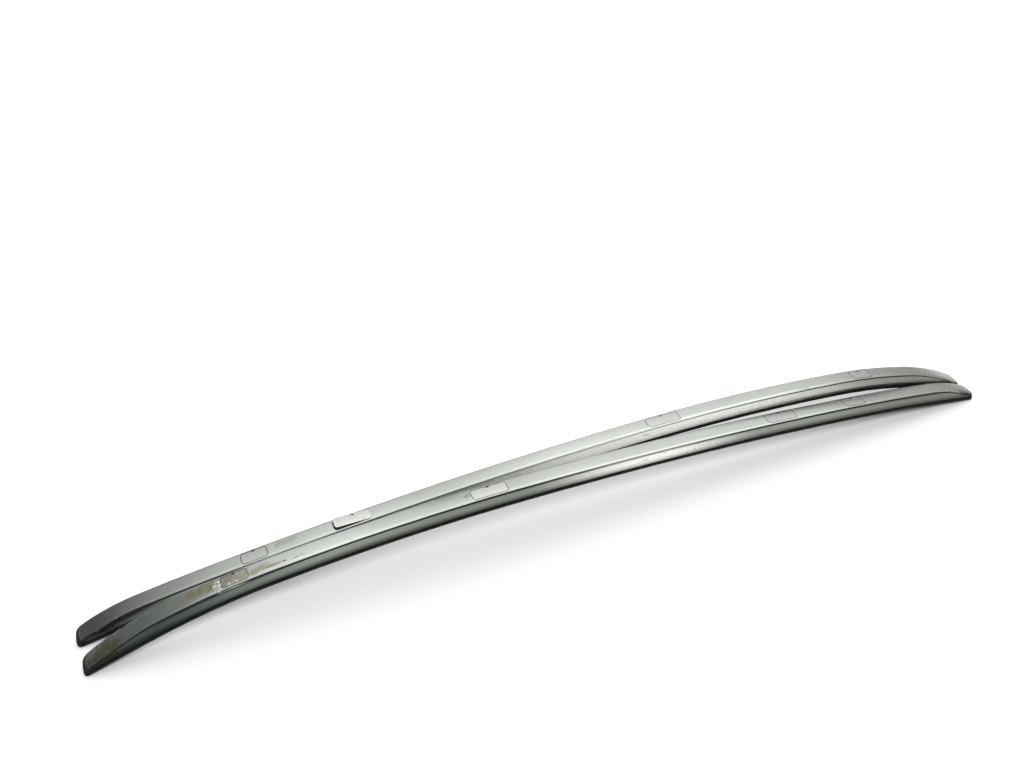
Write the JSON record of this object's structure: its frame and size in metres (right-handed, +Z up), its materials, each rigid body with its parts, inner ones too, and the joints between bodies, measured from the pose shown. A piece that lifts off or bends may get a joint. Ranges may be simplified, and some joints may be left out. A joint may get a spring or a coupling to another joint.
{
  "type": "roof side rail pair",
  "caption": "Left and right flush roof side rails, bent channel bars with a crowned satin top, edge groove, blunt tips, snap covers over the fixings and a rubber seal below.",
  "frame": {"origin": "middle of the pair's bounding box, at the level of the floor that the tips stand on", "axes": "+X along the rails, with the left rail's front tip at -X; +Y away from the viewer, from the right rail to the left one; +Z up, out of the roof"},
  "size_m": [1.9624, 0.1126, 0.1415],
  "materials": {
    "satin_aluminium": "satin anodised silver, worn",
    "silver_plastic": "satin silver paint",
    "black_rubber": "matt black",
    "black_plastic": "moulded black",
    "steel": "zinc plated"
  },
  "bodies": {
    "root": {"left_base_seal": "black_rubber", "left_front_bar_bush": "steel", "left_front_bar_cover": "silver_plastic", "left_front_bar_foot": "black_plastic", "left_front_bar_insert": "steel", "left_front_screw_bush": "steel", "left_front_screw_cover": "silver_plastic", "left_front_screw_foot": "black_plastic", "left_rail": "satin_aluminium", "left_rear_bar_bush": "steel", "left_rear_bar_cover": "silver_plastic", "left_rear_bar_foot": "black_plastic", "left_rear_bar_insert": "steel", "left_rear_screw_bush": "steel", "left_rear_screw_cover": "silver_plastic", "left_rear_screw_foot": "black_plastic", "right_base_seal": "black_rubber", "right_front_bar_bush": "steel", "right_front_bar_cover": "silver_plastic", "right_front_bar_foot": "black_plastic", "right_front_bar_insert": "steel", "right_front_screw_bush": "steel", "right_front_screw_cover": "silver_plastic", "right_front_screw_foot": "black_plastic", "right_rail": "satin_aluminium", "right_rear_bar_bush": "steel", "right_rear_bar_cover": "silver_plastic", "right_rear_bar_foot": "black_plastic", "right_rear_bar_insert": "steel", "right_rear_screw_bush": "steel", "right_rear_screw_cover": "silver_plastic", "right_rear_screw_foot": "black_plastic"}
  },
  "joints": []
}
